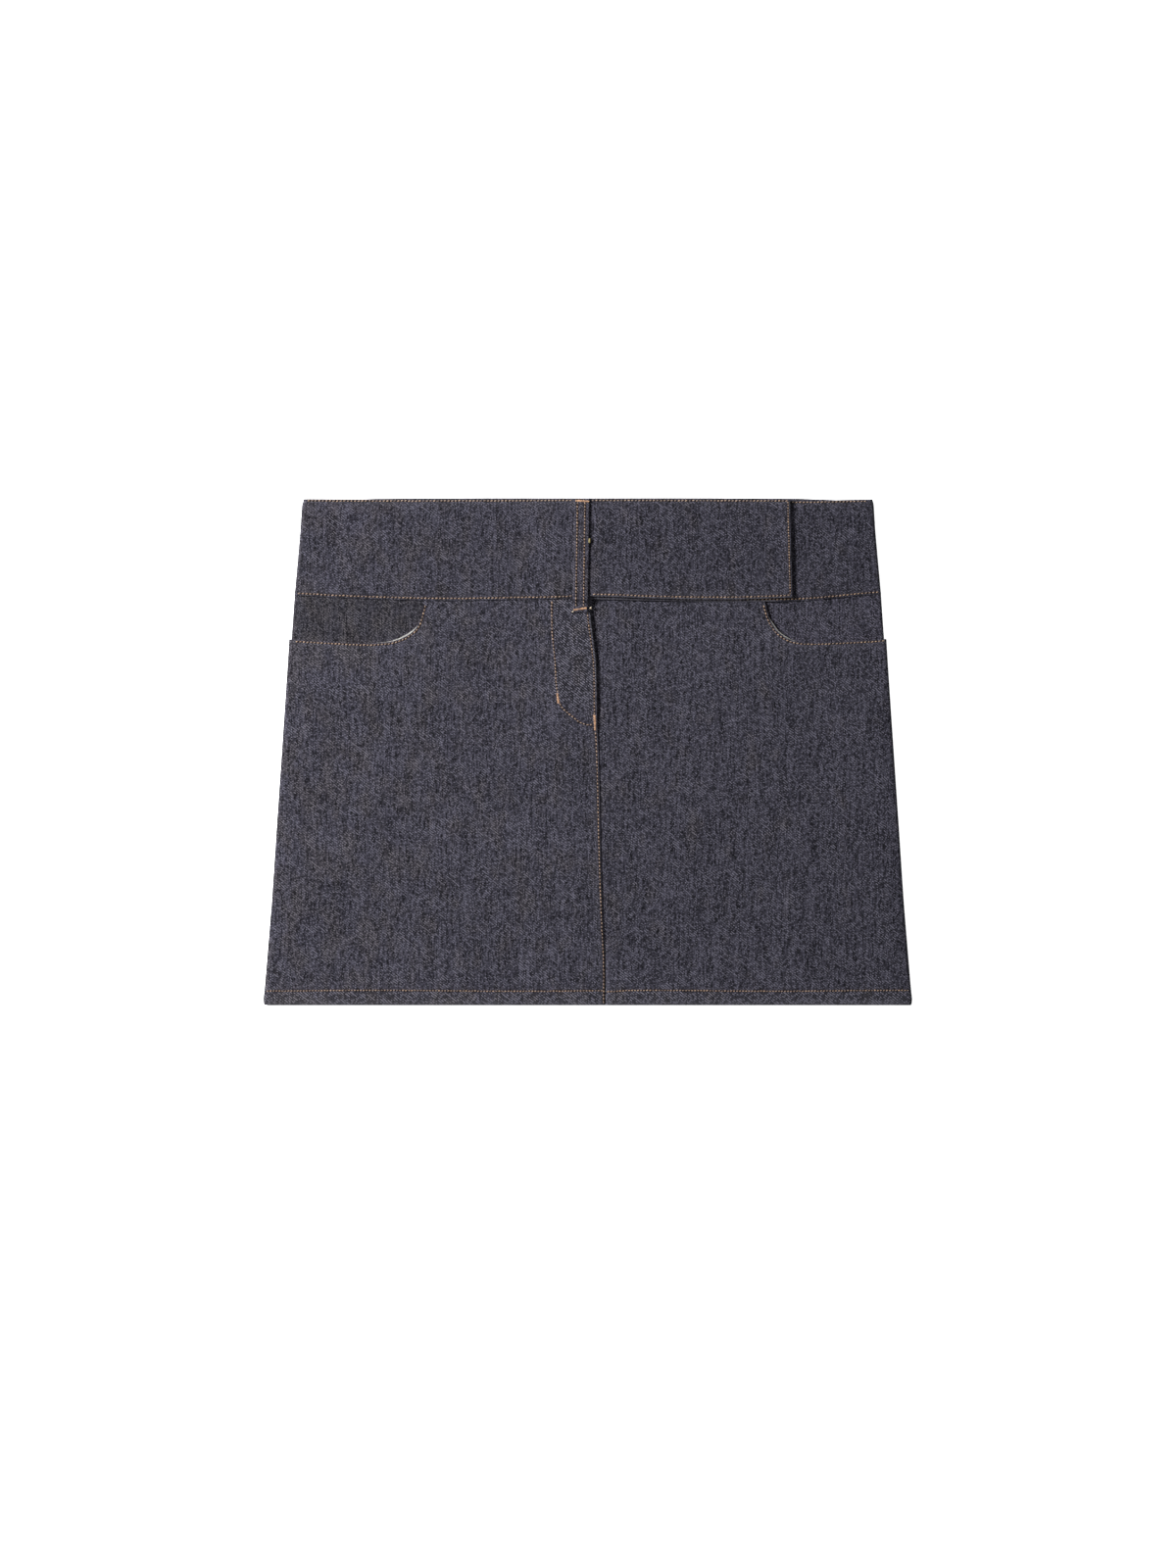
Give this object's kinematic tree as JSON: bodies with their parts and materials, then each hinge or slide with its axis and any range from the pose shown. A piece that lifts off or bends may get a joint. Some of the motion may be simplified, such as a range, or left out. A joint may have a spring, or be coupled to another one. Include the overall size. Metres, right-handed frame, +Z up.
{
  "type": "denim skirt",
  "caption": "Short denim skirt laid flat, front up, with a deep waistband that ends in a long tab, a belt loop, a fly and scooped pockets.",
  "frame": {"origin": "on the surface it lies on, under the centre of the skirt's box", "axes": "+X towards the wearer's left side, +Y from the hem to the waist, +Z up from the back to the front"},
  "size_m": [0.444, 0.347, 0.0085],
  "materials": {
    "denim": "raw dark denim, grey indigo twill with pale flecks and upright slubs",
    "denim_back": "raw dark denim of the skirt's back, the same twill",
    "denim_facing": "raw dark denim of the pocket facings, pale at a cut edge",
    "thread": "thin tan sewing thread of the top stitching",
    "tack_thread": "brighter orange tan thread, packed close in the bar tacks"
  },
  "bodies": {
    "root": {"back_panel": "denim_back", "waistband_back": "denim_back", "hip_facing_right": "denim_facing", "hip_facing_left": "denim_facing", "front_left": "denim", "front_right": "denim", "waistband_left": "denim", "waistband_right": "denim", "belt_loop": "denim"}
  },
  "joints": []
}
